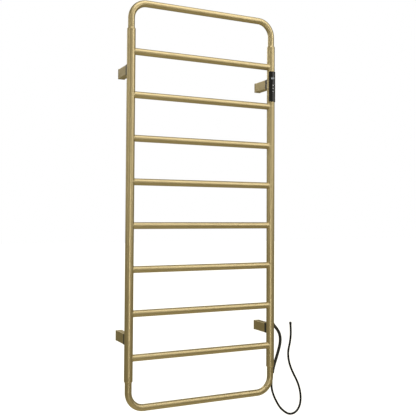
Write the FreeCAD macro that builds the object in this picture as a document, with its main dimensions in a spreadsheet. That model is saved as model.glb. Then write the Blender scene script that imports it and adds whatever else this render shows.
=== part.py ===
import FreeCAD, Part
import math
import os
import Sketcher

# Wall-mounted electric towel warmer: a ladder of tubes on four stand-off brackets, with a control
# unit on the right post and a supply lead. Millimetres. The wall is the plane y = 0 and the rack
# stands in front of it, towards -Y. +X is to the right, +Z is up, and the origin is the centre of
# the four wall screws.

Vector = FreeCAD.Vector
Rotation = FreeCAD.Rotation
Placement = FreeCAD.Placement

document = FreeCAD.newDocument("towel_warmer")

# ---------------------------------------------------------------------------- driving dimensions
SIZES = {
    # ladder
    "post_spacing": 475.0,
    "post_radius": 12.5,
    "post_wall": 1.2,
    "rung_count": 8,
    "rung_pitch": 127.0,
    "rung_radius": 10.0,
    "tube_wall": 1.2,
    "rung_end_gap": 5.0,
    "end_gap": 145.0,
    "bend_radius": 47.5,
    "bend_leg": 33.5,
    # collars between the posts and the thinner bends
    "collar_height": 5.0,
    "collar_spigot": 9.0,
    "collar_seat": 6.0,
    "collar_lip": 0.4,
    "collar_seam": 0.8,
    "collar_seam_depth": 0.7,
    # stand-off brackets
    "post_to_wall": 87.5,
    "bracket_drop": 53.0,
    "bracket_width": 20.0,
    "bracket_height": 30.0,
    "bracket_corner": 1.5,
    "sleeve_wall": 1.5,
    "sleeve_front": 2.0,
    "sleeve_to_axis": 18.5,
    "anchor_plinth": 8.0,
    "anchor_neck": 13.0,
    "anchor_play": 0.2,
    "wall_hole_radius": 2.6,
    "countersink_radius": 5.2,
    "countersink_depth": 2.6,
    "bolt_radius": 3.0,
    "bolt_head_radius": 5.0,
    "bolt_head_height": 3.6,
    "bolt_reach": 1.0,
    "bolt_play": 0.2,
    "insert_radius": 4.5,
    "insert_depth": 3.0,
    "grub_radius": 2.0,
    "grub_depth": 5.5,
    # control unit on the right post
    "control_margin": 5.0,
    "control_width": 22.0,
    "seal_thickness": 0.4,
    "seal_margin": 1.2,
    "housing_skin": 0.7,
    "fascia_skin": 0.8,
    "window_width": 17.2,
    "window_margin": 6.5,
    "skirt_wall": 1.2,
    "fit_play": 0.2,
    "board_front": 6.6,
    "board_thickness": 1.2,
    "board_inset": 0.8,
    "display_width": 14.0,
    "display_height": 8.0,
    "display_drop": 15.0,
    "display_front": 11.2,
    "key_width": 7.0,
    "key_height": 6.0,
    "key_lift": 4.0,
    "key_pitch": 10.0,
    "key_proud": 0.15,
    "key_flange": 0.7,
    "key_flange_thickness": 0.8,
    "key_travel": 0.6,
    "key_rest_gap": 0.75,
    "switch_side": 4.5,
    "switch_height": 1.4,
    "board_screw_radius": 1.2,
    "board_screw_length": 4.0,
    # electrical pieces inside the posts
    "cable_radius": 2.5,
    "cable_bend": 12.0,
    "wire_radius": 2.2,
    "wire_offset": 6.5,
    "terminal_height": 9.0,
    "sensor_radius": 1.6,
    "sensor_length": 16.0,
    "sensor_drop": 30.0,
    "lead_radius": 0.6,
    # supply lead
    "cord_radius": 3.5,
    "cord_sleeve_radius": 5.0,
    "cord_sleeve_play": 0.15,
    "gland_radius": 6.2,
    "gland_mouth_radius": 5.4,
    "gland_stem_radius": 4.6,
    "gland_flange": 5.0,
    "gland_nose_length": 15.5,
    "gland_nut_radius": 6.0,
    "gland_nut_clearance": 0.015,
    "gland_nut_thickness": 1.6,
    "gland_azimuth": 50.0,
    "gland_tilt": 20.0,
    "gland_rise": 29.5,
    "cap_radius": 4.3,
    "cap_cover": 7.0,
    "cap_end": 2.0,
    "earth_screw_rise": 60.0,
    "earth_screw_radius": 2.0,
}

sheet = document.addObject("Spreadsheet::Sheet", "Sizes")
for row, (alias, value) in enumerate(SIZES.items(), start=1):
    sheet.set(f"A{row}", alias)
    sheet.set(f"B{row}", str(value))
    sheet.setAlias(f"B{row}", alias)

# Sizes that follow from the ones above; each cell holds a formula. The control unit fills the
# space between the two top rungs, less a margin.
DERIVED = {
    "post_inner": "post_radius - post_wall",
    "rung_inner": "rung_radius - tube_wall",
    "post_x": "post_spacing / 2",
    "axis_y": "-post_to_wall",
    "rung_top_z": "(rung_count - 1) * rung_pitch / 2",
    "bar_z": "rung_top_z + end_gap",
    "post_end_z": "bar_z - bend_radius - bend_leg",
    "collar_seam_radius": "post_radius - collar_seam_depth",
    "bracket_z": "rung_top_z - bracket_drop",
    "sleeve_y": "axis_y + sleeve_to_axis",
    "sleeve_length": "post_to_wall - sleeve_to_axis - anchor_plinth",
    "neck_width": "bracket_width - 2 * sleeve_wall - 2 * anchor_play",
    "neck_height": "bracket_height - 2 * sleeve_wall - 2 * anchor_play",
    "spacer_depth": "sleeve_to_axis - sqrt(post_radius ^ 2 - bracket_width ^ 2 / 4)",
    "control_z": "rung_top_z - rung_pitch / 2",
    "control_height": "rung_pitch - 2 * rung_radius - 2 * control_margin",
    "window_height": "control_height - 2 * window_margin",
    "display_lift": "window_height / 2 - display_drop",
    "seal_outer": "post_radius + seal_thickness",
    "housing_outer": "seal_outer + housing_skin",
    "fascia_outer": "housing_outer + fascia_skin",
    "skirt_width": "window_width - 2 * fit_play",
    "skirt_height": "window_height - 2 * fit_play",
    "board_width": "skirt_width - board_inset",
    "board_height": "skirt_height - board_inset",
    "switch_front": "board_front + switch_height",
    "key_rear": "switch_front + key_rest_gap",
    "gland_z": "-bracket_z + gland_rise",
    "gland_collar": "post_radius + gland_flange",
    "gland_tip": "gland_collar + gland_nose_length",
    "gland_nut_top": "sqrt(post_inner ^ 2 - gland_nut_radius ^ 2) - gland_nut_clearance",
    "gland_inner_end": "gland_nut_top - gland_nut_thickness",
}
for row, (alias, formula) in enumerate(DERIVED.items(), start=len(SIZES) + 2):
    sheet.set(f"A{row}", alias)
    sheet.set(f"B{row}", "=" + formula)
    sheet.setAlias(f"B{row}", alias)
document.recompute()

X_TURN = Rotation(Vector(0, 1, 0), 90)
Y_TURN = Rotation(Vector(1, 0, 0), -90)
UPRIGHT = Rotation()
SIDES = {"left": -1, "right": 1}
ENDS = {"top": 1, "bottom": -1}

nodes = []


def size(alias):
    """The value of one cell of the sheet."""
    return float(sheet.get(alias))


def formula(text):
    """Text with its sheet names written as the expressions of other objects need them."""
    names = sorted(list(SIZES) + list(DERIVED), key=len, reverse=True)
    out = ""
    index = 0
    while index < len(text):
        match = next((name for name in names if text.startswith(name, index)), None)
        if match:
            out += "Sizes." + match
            index += len(match)
        elif text[index].isalpha():
            word = ""
            while index < len(text) and (text[index].isalnum() or text[index] == "_"):
                word += text[index]
                index += 1
            out += word
        else:
            out += text[index]
            index += 1
    return out


def bind(thing, **properties):
    """Bind properties to formulas of the sheet's values."""
    for name, text in properties.items():
        thing.setExpression(name, formula(str(text)))
    return thing


def place(thing, x="0", y="0", z="0", turn=UPRIGHT):
    """Turn a feature and bind its base point to formulas."""
    thing.Placement = Placement(Vector(), turn)
    for axis, text in (("x", x), ("y", y), ("z", z)):
        thing.setExpression(f"Placement.Base.{axis}", formula(str(text)))
    return thing


def keep(thing, label):
    """Register a finished sub-part under its own label."""
    thing.Label = label
    nodes.append(thing)
    return thing


def cylinder(name, radius, length, x="0", y="0", z="0", turn=UPRIGHT):
    rod = document.addObject("Part::Cylinder", name)
    bind(rod, Radius=radius, Height=length)
    return place(rod, x, y, z, turn)


def box(name, low, high):
    """A box between two corners given as formulas."""
    block = document.addObject("Part::Box", name)
    spans = [f"({top}) - ({bottom})" for bottom, top in zip(low, high)]
    bind(block, Length=spans[0], Width=spans[1], Height=spans[2])
    return place(block, *low)


def cut(name, base, *tools):
    """The base with one or more tools taken away."""
    result = document.addObject("Part::Cut", name)
    result.Base = base
    result.Tool = tools[0] if len(tools) == 1 else fuse(name + "_tools", *tools)
    return result


def fuse(name, *shapes):
    result = document.addObject("Part::MultiFuse", name)
    result.Shapes = list(shapes)
    return result


def common(name, first, second):
    result = document.addObject("Part::Common", name)
    result.Base = first
    result.Tool = second
    return result


def group(name, shapes):
    """Separate solids that share one node."""
    result = document.addObject("Part::Compound", name)
    result.Links = shapes
    return result


def solid(name, shape):
    """A shape made with Part's own functions."""
    feature = document.addObject("Part::Feature", name)
    feature.Shape = shape
    return feature


# ------------------------------------------------------------------------------ sketch helpers
def new_sketch(body, name, role):
    """A sketch on one of the body's own origin planes."""
    sketch = body.newObject("Sketcher::SketchObject", name)
    support = next(item for item in body.Origin.OriginFeatures if item.Role == role)
    sketch.AttachmentSupport = [(support, "")]
    sketch.MapMode = "FlatFace"
    return sketch


def name_last(sketch, name, text):
    """Name the newest constraint and bind it to a formula."""
    sketch.renameConstraint(sketch.ConstraintCount - 1, name)
    sketch.setExpression(f"Constraints.{name}", formula(text))


def centred_circle(sketch, name, radius):
    index = sketch.addGeometry(Part.Circle(Vector(), Vector(0, 0, 1), 5.0), False)
    sketch.addConstraint(Sketcher.Constraint("Coincident", index, 3, -1, 1))
    sketch.addConstraint(Sketcher.Constraint("Radius", index, 5.0))
    name_last(sketch, name, radius)


def centred_rectangle(sketch, name, width, height):
    """A rectangle about the sketch's origin, bound to two formulas."""
    corners = [Vector(-9, -6), Vector(9, -6), Vector(9, 6), Vector(-9, 6)]
    first = sketch.GeometryCount
    for start, end in zip(corners, corners[1:] + corners[:1]):
        sketch.addGeometry(Part.LineSegment(start, end), False)
    for side in range(4):
        joined = first + (side + 1) % 4
        sketch.addConstraint(Sketcher.Constraint("Coincident", first + side, 2, joined, 1))
    for side in range(4):
        kind = "Horizontal" if side % 2 == 0 else "Vertical"
        sketch.addConstraint(Sketcher.Constraint(kind, first + side))
    sketch.addConstraint(Sketcher.Constraint("Symmetric", first, 1, first + 2, 1, -1, 1))
    sketch.addConstraint(Sketcher.Constraint("DistanceX", first, 1, first, 2, 18.0))
    name_last(sketch, name + "_width", width)
    sketch.addConstraint(Sketcher.Constraint("DistanceY", first + 1, 1, first + 1, 2, 12.0))
    name_last(sketch, name + "_height", height)


def pad(body, sketch, name, length):
    feature = body.newObject("PartDesign::Pad", name)
    feature.Profile = sketch
    bind(feature, Length=length)
    body.Tip = feature
    return feature


def pocket(body, sketch, name, length, reverse=False):
    feature = body.newObject("PartDesign::Pocket", name)
    feature.Profile = sketch
    feature.Reversed = reverse
    bind(feature, Length=length)
    body.Tip = feature
    return feature


# -------------------------------------------------------------------------------------- ladder
def rung_z(number):
    """Formula of a rung's height; rung 1 is the top one."""
    return f"rung_top_z - {number - 1} * rung_pitch"


def gland_direction():
    """The way the supply lead leaves the right post: back, outwards and slightly down."""
    azimuth = math.radians(size("gland_azimuth"))
    tilt = math.radians(size("gland_tilt"))
    level = math.cos(tilt)
    return Vector(math.cos(azimuth) * level, math.sin(azimuth) * level, -math.sin(tilt))


def gland_origin():
    return Vector(size("post_x"), size("axis_y"), size("gland_z"))


def gland_rod(name, radius, start, end, end_radius=None):
    """A cylinder or cone on the gland's axis between two distances from the post's axis."""
    turn = Rotation(Vector(0, 0, 1), gland_direction())
    foot = gland_origin() + gland_direction() * size(start)
    if end_radius is None:
        rod = document.addObject("Part::Cylinder", name)
        bind(rod, Radius=radius)
    else:
        rod = document.addObject("Part::Cone", name)
        bind(rod, Radius1=radius, Radius2=end_radius)
    bind(rod, Height=f"{end} - {start}")
    rod.Placement = Placement(foot, turn)
    return rod


def make_post(side):
    """A post: a tube pierced for the rungs, the bracket inserts and, on the right, the controls."""
    sign = SIDES[side]
    centre = f"{sign} * post_x"
    outer = cylinder(f"{side}_post_outer", "post_radius", "2 * post_end_z", centre, "axis_y",
                     "-post_end_z")
    bore = cylinder(f"{side}_post_bore", "post_inner", "2 * post_end_z", centre, "axis_y",
                    "-post_end_z")
    tools = [bore]
    rung_start = centre if sign < 0 else f"{centre} - post_radius - tube_wall"
    for number in range(1, int(size("rung_count")) + 1):
        tools.append(cylinder(f"{side}_rung_hole_{number}", "rung_radius", "post_radius + tube_wall",
                              rung_start, "axis_y", rung_z(number), X_TURN))
    for end, up in ENDS.items():
        tools.append(cylinder(f"{side}_{end}_insert_hole", "insert_radius", "post_radius", centre,
                              "axis_y", f"{up} * bracket_z", Y_TURN))
    if side == "right":
        tools.append(box("control_opening",
                         (f"{centre} - window_width / 2", "axis_y - post_radius - post_wall",
                          "control_z - window_height / 2"),
                         (f"{centre} + window_width / 2", "axis_y - post_radius / 4",
                          "control_z + window_height / 2")))
        tools.append(gland_rod("gland_hole", "gland_stem_radius", "gland_inner_end",
                               "gland_collar"))
        tools.append(cylinder("earth_hole", "earth_screw_radius", "post_radius", centre, "axis_y",
                              "-bracket_z + earth_screw_rise", Y_TURN))
    keep(cut(f"{side}_post", outer, *tools), f"{side}_post")


def make_rung(number):
    """A straight tube that enters both posts and stops short of their axes."""
    body = document.addObject("PartDesign::Body", f"rung_{number}_body")
    sketch = new_sketch(body, f"rung_{number}_section", "YZ_Plane")
    centred_circle(sketch, "outer", "rung_radius")
    centred_circle(sketch, "inner", "rung_inner")
    tube = pad(body, sketch, f"rung_{number}_pad", "2 * (post_x - rung_end_gap)")
    tube.Midplane = True
    place(body, "0", "axis_y", rung_z(number))
    keep(body, f"rung_{number}")


def bend_core(name, end, radius):
    """The solid path of an end bend: leg, quarter turn, cross bar, quarter turn, leg."""
    up = ENDS[end]
    leg_top = f"{up} * (bar_z - bend_radius)"
    leg_low = "post_end_z - collar_seat"
    pieces = []
    for side, sign in SIDES.items():
        centre = f"{sign} * post_x"
        turn_x = f"{sign} * (post_x - bend_radius)"
        foot = leg_low if up > 0 else f"-(bar_z - bend_radius)"
        length = "bend_leg + collar_seat"
        pieces.append(cylinder(f"{name}_{side}_leg", radius, length, centre, "axis_y", foot))
        quarter = document.addObject("Part::Torus", f"{name}_{side}_turn")
        bind(quarter, Radius1="bend_radius", Radius2=radius)
        quarter.Angle3 = 90
        # The quarter is made from +X to +Y about Z, and stood up so that it joins leg and bar.
        stand = Rotation(Vector(1, 0, 0), 90)
        spin = {(1, 1): 0, (-1, 1): 90, (-1, -1): 180, (1, -1): 270}[(sign, up)]
        turn = stand.multiply(Rotation(Vector(0, 0, 1), spin))
        pieces.append(place(quarter, turn_x, "axis_y", leg_top, turn))
    pieces.append(cylinder(f"{name}_bar", radius, "2 * (post_x - bend_radius)",
                           "-(post_x - bend_radius)", "axis_y", f"{up} * bar_z", X_TURN))
    return fuse(name, *pieces)


def make_bend(end):
    outer = bend_core(f"{end}_bend_outer", end, "rung_radius")
    inner = bend_core(f"{end}_bend_inner", end, "rung_inner")
    keep(cut(f"{end}_bend", outer, inner), f"{end}_bend")


def make_collar(side, end):
    """A turned ring that closes a post's end and narrows it to the bend's tube."""
    body = document.addObject("PartDesign::Body", f"collar_{side}_{end}_body")
    sketch = new_sketch(body, f"collar_{side}_{end}_section", "XZ_Plane")
    # Half section: spigot inside the post, shadow gap on its end, taper up to the bend.
    outline = [
        ("rung_radius", "-collar_seat"),
        ("rung_radius", "collar_height"),
        ("rung_radius + collar_lip", "collar_height"),
        ("post_radius", "collar_seam + collar_lip"),
        ("post_radius", "collar_seam"),
        ("collar_seam_radius", "collar_seam"),
        ("collar_seam_radius", "0"),
        ("post_inner", "0"),
        ("post_inner", "-collar_spigot"),
        ("rung_inner", "-collar_spigot"),
        ("rung_inner", "-collar_seat"),
    ]
    points = []
    for radius_text, height_text in outline:
        height = 0.0 if height_text == "0" else sum_of(height_text)
        points.append(Vector(sum_of(radius_text), height, 0))
    count = len(points)
    for index in range(count):
        sketch.addGeometry(Part.LineSegment(points[index], points[(index + 1) % count]), False)
    for index in range(count):
        after = (index + 1) % count
        sketch.addConstraint(Sketcher.Constraint("Coincident", index, 2, after, 1))
    for index, (radius_text, height_text) in enumerate(outline):
        point = points[index]
        sketch.addConstraint(Sketcher.Constraint("DistanceX", -1, 1, index, 1, point.x))
        name_last(sketch, f"radius_{index}", radius_text)
        if height_text == "0":
            sketch.addConstraint(Sketcher.Constraint("PointOnObject", index, 1, -1))
            continue
        if point.y > 0:
            sketch.addConstraint(Sketcher.Constraint("DistanceY", -1, 1, index, 1, point.y))
            name_last(sketch, f"height_{index}", height_text)
        else:
            sketch.addConstraint(Sketcher.Constraint("DistanceY", index, 1, -1, 1, -point.y))
            name_last(sketch, f"depth_{index}", height_text.lstrip("-"))
    ring = body.newObject("PartDesign::Revolution", f"collar_{side}_{end}_turned")
    ring.Profile = sketch
    ring.ReferenceAxis = (sketch, ["V_Axis"])
    ring.Angle = 360.0
    body.Tip = ring
    up = ENDS[end]
    turn = UPRIGHT if up > 0 else Rotation(Vector(1, 0, 0), 180)
    place(body, f"{SIDES[side]} * post_x", "axis_y", f"{up} * post_end_z", turn)
    keep(body, f"collar_{side}_{end}")


def sum_of(text):
    """The value of a formula that only adds sheet names, with an optional leading minus."""
    sign = -1.0 if text.startswith("-") else 1.0
    return sign * sum(size(word.strip()) for word in text.lstrip("-").split("+"))


# ------------------------------------------------------------------------------------ brackets
def bracket_centre(side, end):
    return f"{SIDES[side]} * post_x", f"{ENDS[end]} * bracket_z"


def make_anchor(side, end):
    """The piece screwed to the wall: a plinth as big as the sleeve, and a neck inside it."""
    tag = f"{side}_{end}"
    body = document.addObject("PartDesign::Body", f"wall_anchor_{tag}_body")
    plinth = new_sketch(body, f"plinth_{tag}", "XZ_Plane")
    centred_rectangle(plinth, "plinth", "bracket_width", "bracket_height")
    pad(body, plinth, f"plinth_{tag}_pad", "anchor_plinth")
    neck = new_sketch(body, f"neck_{tag}", "XZ_Plane")
    centred_rectangle(neck, "neck", "neck_width", "neck_height")
    pad(body, neck, f"neck_{tag}_pad", "anchor_plinth + anchor_neck")
    hole = new_sketch(body, f"wall_hole_{tag}", "XZ_Plane")
    centred_circle(hole, "hole", "wall_hole_radius")
    pocket(body, hole, f"wall_hole_{tag}_pocket", "anchor_plinth + anchor_neck", True)
    x, z = bracket_centre(side, end)
    place(body, x, "0", z)
    countersink = document.addObject("Part::Cone", f"countersink_{tag}")
    bind(countersink, Radius1="countersink_radius", Radius2="wall_hole_radius",
         Height="countersink_depth")
    place(countersink, x, "-anchor_plinth - anchor_neck", z, Y_TURN)
    grub_hole = cylinder(f"grub_hole_{tag}", "grub_radius", "grub_depth + sleeve_wall", x, grub_y(),
                         f"{z} - bracket_height / 2")
    keep(cut(f"wall_anchor_{tag}", body, countersink, grub_hole), f"wall_anchor_{tag}")


def grub_y():
    return "-anchor_plinth - anchor_neck / 2"


def make_sleeve(side, end):
    """A rectangular tube, closed at the post's end, that slides over the anchor's neck."""
    tag = f"{side}_{end}"
    body = document.addObject("PartDesign::Body", f"sleeve_{tag}_body")
    outside = new_sketch(body, f"sleeve_outside_{tag}", "XZ_Plane")
    centred_rectangle(outside, "outside", "bracket_width", "bracket_height")
    shell = pad(body, outside, f"sleeve_{tag}_pad", "sleeve_length")
    document.recompute()
    edges = [f"Edge{number}" for number, edge in enumerate(shell.Shape.Edges, start=1)
             if abs(edge.tangentAt(edge.FirstParameter).y) > 0.99]
    rounded = body.newObject("PartDesign::Fillet", f"sleeve_{tag}_fillet")
    rounded.Base = (shell, edges)
    bind(rounded, Radius="bracket_corner")
    body.Tip = rounded
    inside = new_sketch(body, f"sleeve_inside_{tag}", "XZ_Plane")
    centred_rectangle(inside, "inside", "bracket_width - 2 * sleeve_wall",
                      "bracket_height - 2 * sleeve_wall")
    pocket(body, inside, f"sleeve_{tag}_pocket", "sleeve_length - sleeve_front", True)
    hole = new_sketch(body, f"bolt_hole_{tag}", "XZ_Plane")
    centred_circle(hole, "hole", "bolt_radius + bolt_play")
    pocket(body, hole, f"bolt_hole_{tag}_pocket", "sleeve_length", True)
    x, z = bracket_centre(side, end)
    place(body, x, "-anchor_plinth", z)
    grub_hole = cylinder(f"sleeve_grub_hole_{tag}", "grub_radius", "2 * sleeve_wall", x, grub_y(),
                         f"{z} - bracket_height / 2 - sleeve_wall / 2")
    keep(cut(f"bracket_sleeve_{tag}", body, grub_hole), f"bracket_sleeve_{tag}")


def make_spacer(side, end):
    """A plastic block between sleeve and post, hollowed to sit on the round post."""
    tag = f"{side}_{end}"
    x, z = bracket_centre(side, end)
    block = box(f"spacer_block_{tag}",
                (f"{x} - bracket_width / 2", "sleeve_y - spacer_depth", f"{z} - bracket_height / 2"),
                (f"{x} + bracket_width / 2", "sleeve_y", f"{z} + bracket_height / 2"))
    saddle = cylinder(f"spacer_saddle_{tag}", "post_radius", "2 * bracket_height", x, "axis_y",
                      f"{z} - bracket_height")
    hole = cylinder(f"spacer_hole_{tag}", "bolt_radius + bolt_play", "sleeve_to_axis", x, "axis_y",
                    z, Y_TURN)
    keep(cut(f"bracket_spacer_{tag}", block, saddle, hole), f"bracket_spacer_{tag}")


def make_bracket_hardware():
    """Bolts through sleeve and spacer, threaded inserts in the posts, grub screws under the sleeves."""
    bolts = []
    inserts = []
    grubs = []
    for side in SIDES:
        for end in ENDS:
            tag = f"{side}_{end}"
            x, z = bracket_centre(side, end)
            shank = cylinder(f"bolt_shank_{tag}", "bolt_radius",
                             "sleeve_to_axis + sleeve_front - insert_depth - bolt_reach", x,
                             "axis_y + insert_depth + bolt_reach", z, Y_TURN)
            head = cylinder(f"bolt_head_{tag}", "bolt_head_radius", "bolt_head_height", x,
                            "sleeve_y + sleeve_front", z, Y_TURN)
            recess = cylinder(f"bolt_recess_{tag}", "bolt_radius / 2", "bolt_head_height", x,
                              "sleeve_y + sleeve_front + bolt_head_height / 2", z, Y_TURN)
            bolts.append(cut(f"bracket_bolt_{tag}", fuse(f"bolt_{tag}", shank, head), recess))
            barrel = cylinder(f"insert_barrel_{tag}", "insert_radius", "post_radius", x,
                              "axis_y + insert_depth", z, Y_TURN)
            thread = cylinder(f"insert_thread_{tag}", "bolt_radius", "2 * post_radius", x,
                              "axis_y", z, Y_TURN)
            skin = cylinder(f"insert_skin_{tag}", "post_radius", "bracket_height", x, "axis_y",
                            f"{z} - bracket_height / 2")
            trimmed = common(f"insert_trimmed_{tag}", barrel, skin)
            inserts.append(cut(f"threaded_insert_{tag}", trimmed, thread))
            grub = cylinder(f"grub_body_{tag}", "grub_radius", "grub_depth", x, grub_y(),
                            f"{z} - bracket_height / 2 + sleeve_wall / 2")
            socket = cylinder(f"grub_socket_{tag}", "grub_radius / 2", "grub_depth / 2", x, grub_y(),
                              f"{z} - bracket_height / 2")
            grubs.append(cut(f"grub_screw_{tag}", grub, socket))
    keep(group("bracket_bolts", bolts), "bracket_bolts")
    keep(group("threaded_inserts", inserts), "threaded_inserts")
    keep(group("sleeve_grub_screws", grubs), "sleeve_grub_screws")


# -------------------------------------------------------------------------------- control unit
def control_band(name, inner, outer, width, height, z="control_z"):
    """A part of a ring about the right post's axis, on its front, with straight side walls."""
    ring = cylinder(f"{name}_ring", outer, height, "post_x", "axis_y", f"{z} - ({height}) / 2")
    core = cylinder(f"{name}_core", inner, f"2 * ({height})", "post_x", "axis_y",
                    f"{z} - ({height})")
    slab = front_block(f"{name}_slab", width, height, "0", "2 * post_radius", z)
    return cut(name, common(f"{name}_front", ring, slab), core)


def front_block(name, width, height, near, far, z="control_z"):
    """A box in front of the right post's axis, between two distances from it."""
    return box(name,
               (f"post_x - ({width}) / 2", f"axis_y - ({far})", f"{z} - ({height}) / 2"),
               (f"post_x + ({width}) / 2", f"axis_y - ({near})", f"{z} + ({height}) / 2"))


def key_z(number):
    return f"control_z + key_lift - {number - 1} * key_pitch"


def key_holes(name):
    """Three holes for the keys, through whatever they are cut from."""
    return [front_block(f"{name}_key_hole_{number}", "key_width", "key_height", "key_rear",
                        "2 * post_radius", key_z(number)) for number in (1, 2, 3)]


DISPLAY_Z = "control_z + display_lift"


def make_control_shells():
    seal = control_band("seal_band", "post_radius", "seal_outer",
                        "control_width - 2 * seal_margin", "control_height - 2 * seal_margin")
    seal_hole = front_block("seal_hole", "window_width", "window_height", "0", "2 * post_radius")
    keep(cut("control_seal", seal, seal_hole), "control_seal")

    skin = control_band("housing_band", "seal_outer", "housing_outer", "control_width",
                        "control_height")
    rim = control_band("housing_rim_band", "post_radius", "housing_outer", "control_width",
                       "control_height")
    rim_hole = front_block("housing_rim_hole", "control_width - 2 * seal_margin",
                           "control_height - 2 * seal_margin", "0", "2 * post_radius")
    skirt = common("housing_skirt",
                   front_block("skirt_block", "skirt_width", "skirt_height", "board_front",
                               "2 * post_radius"),
                   cylinder("skirt_limit", "housing_outer", "control_height", "post_x", "axis_y",
                            "control_z - control_height / 2"))
    well = front_block("skirt_well", "skirt_width - 2 * skirt_wall",
                       "skirt_height - 8 * skirt_wall", "0", "seal_outer - housing_skin")
    display_hole = front_block("housing_display_hole", "display_width", "display_height",
                               "0", "2 * post_radius", DISPLAY_Z)
    screw_holes = [cylinder(f"housing_screw_hole_{end}", "board_screw_radius",
                            "board_screw_length", "post_x", "axis_y - board_front - board_screw_length",
                            board_screw_z(up), Y_TURN) for end, up in ENDS.items()]
    whole = fuse("housing_whole", skin, cut("housing_rim", rim, rim_hole), skirt)
    keep(cut("control_housing", whole, well, display_hole, *key_holes("housing"), *screw_holes),
         "control_housing")

    fascia = control_band("fascia_band", "housing_outer", "fascia_outer", "control_width",
                          "control_height")
    fascia_window = front_block("fascia_window", "display_width", "display_height", "0",
                                "2 * post_radius", DISPLAY_Z)
    keep(cut("control_fascia", fascia, fascia_window, *key_holes("fascia")), "control_fascia")
    pane = control_band("display_window", "housing_outer", "fascia_outer - key_proud",
                        "display_width", "display_height", DISPLAY_Z)
    keep(pane, "display_window")


def board_screw_z(up):
    return f"control_z + {up} * (skirt_height / 2 - 2.5 * skirt_wall)"


def make_control_electronics():
    board = front_block("board_blank", "board_width", "board_height",
                        "board_front - board_thickness", "board_front")
    holes = [cylinder(f"board_hole_{end}", "board_screw_radius + fit_play", "2 * board_front",
                      "post_x", "axis_y - 2 * board_front", board_screw_z(up), Y_TURN)
             for end, up in ENDS.items()]
    keep(cut("circuit_board", board, *holes), "circuit_board")

    keep(front_block("display_module", "display_width - 2 * fit_play",
                     "display_height - 2 * fit_play", "board_front", "display_front", DISPLAY_Z),
         "display_module")

    switches = [front_block(f"key_switch_{number}", "switch_side", "switch_side", "board_front",
                            "switch_front", key_z(number)) for number in (1, 2, 3)]
    keep(group("key_switches", switches), "key_switches")

    screws = []
    for end, up in ENDS.items():
        shank = cylinder(f"board_screw_shank_{end}", "board_screw_radius",
                         "board_screw_length + board_thickness", "post_x",
                         "axis_y - board_front - board_screw_length", board_screw_z(up), Y_TURN)
        head = cylinder(f"board_screw_head_{end}", "2 * board_screw_radius", "board_thickness",
                        "post_x", "axis_y - board_front + board_thickness", board_screw_z(up),
                        Y_TURN)
        screws.append(fuse(f"board_screw_{end}", shank, head))
    keep(group("board_screws", screws), "board_screws")


def make_key(number):
    """A push key: a curved cap in the fascia's hole and a flange that keeps it behind the housing."""
    z = key_z(number)
    cap = common(f"key_{number}_cap",
                 front_block(f"key_{number}_block", "key_width - 2 * fit_play",
                             "key_height - 2 * fit_play", "key_rear", "2 * post_radius", z),
                 cylinder(f"key_{number}_face", "fascia_outer + key_proud", "key_height", "post_x",
                          "axis_y", f"{z} - key_height / 2"))
    flange = front_block(f"key_{number}_flange", "key_width + 2 * key_flange",
                         "key_height + 2 * key_flange", "key_rear",
                         "key_rear + key_flange_thickness", z)
    keep(fuse(f"key_{number}", cap, flange), f"key_{number}")


# ------------------------------------------------------------------- cables, wires and the lead
def rounded_edges(points, radius=None):
    """Straight runs joined by tangent arcs; without a radius each arc is as large as its runs allow."""
    edges = []
    radii = []
    start = points[0]
    for before, corner, after in zip(points, points[1:], points[2:]):
        incoming = (corner - before).normalize()
        outgoing = (after - corner).normalize()
        half_turn = incoming.getAngle(outgoing) / 2
        shorter = min((corner - before).Length, (after - corner).Length)
        trim = 0.45 * shorter if radius is None else radius * math.tan(half_turn)
        bend = trim / math.tan(half_turn)
        inward = (outgoing - incoming).normalize()
        first = corner - incoming * trim
        last = corner + outgoing * trim
        middle = corner + inward * (bend / math.cos(half_turn) - bend)
        edges.append(Part.LineSegment(start, first).toShape())
        edges.append(Part.Arc(first, middle, last).toShape())
        radii.append(bend)
        start = last
    edges.append(Part.LineSegment(start, points[-1]).toShape())
    return edges, radii


def sweep(edges, radius):
    """A round section swept along edges, with its volume compared with section times length."""
    wire = Part.Wire(edges)
    start = edges[0].valueAt(edges[0].FirstParameter)
    direction = edges[0].tangentAt(edges[0].FirstParameter)
    section = Part.Wire([Part.makeCircle(radius, start, direction)])
    tube = wire.makePipeShell([section], True, False)
    expected = math.pi * radius ** 2 * wire.Length
    if abs(tube.Volume - expected) > 0.01 * expected:
        raise ValueError(f"sweep has volume {tube.Volume:.0f}, expected {expected:.0f}")
    return tube


def make_heating_cable():
    """One resistance cable that passes through every rung in turn, down the ladder."""
    reach = size("post_x")
    y = size("axis_y")
    heights = [size("rung_top_z") - index * size("rung_pitch")
               for index in range(int(size("rung_count")))]
    points = [Vector(reach, y, terminal_top())]
    side = 1
    for height in heights:
        points.append(Vector(side * reach, y, height))
        side = -side
        points.append(Vector(side * reach, y, height))
    tail = 2 * size("cable_bend")
    points.append(Vector(side * reach, y, heights[-1] + tail))
    edges, _ = rounded_edges(points, size("cable_bend"))
    keep(solid("heating_cable", sweep(edges, size("cable_radius"))), "heating_cable")


def terminal_top():
    return size("control_z") - size("board_height") / 2 + 2 * size("terminal_height")


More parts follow.
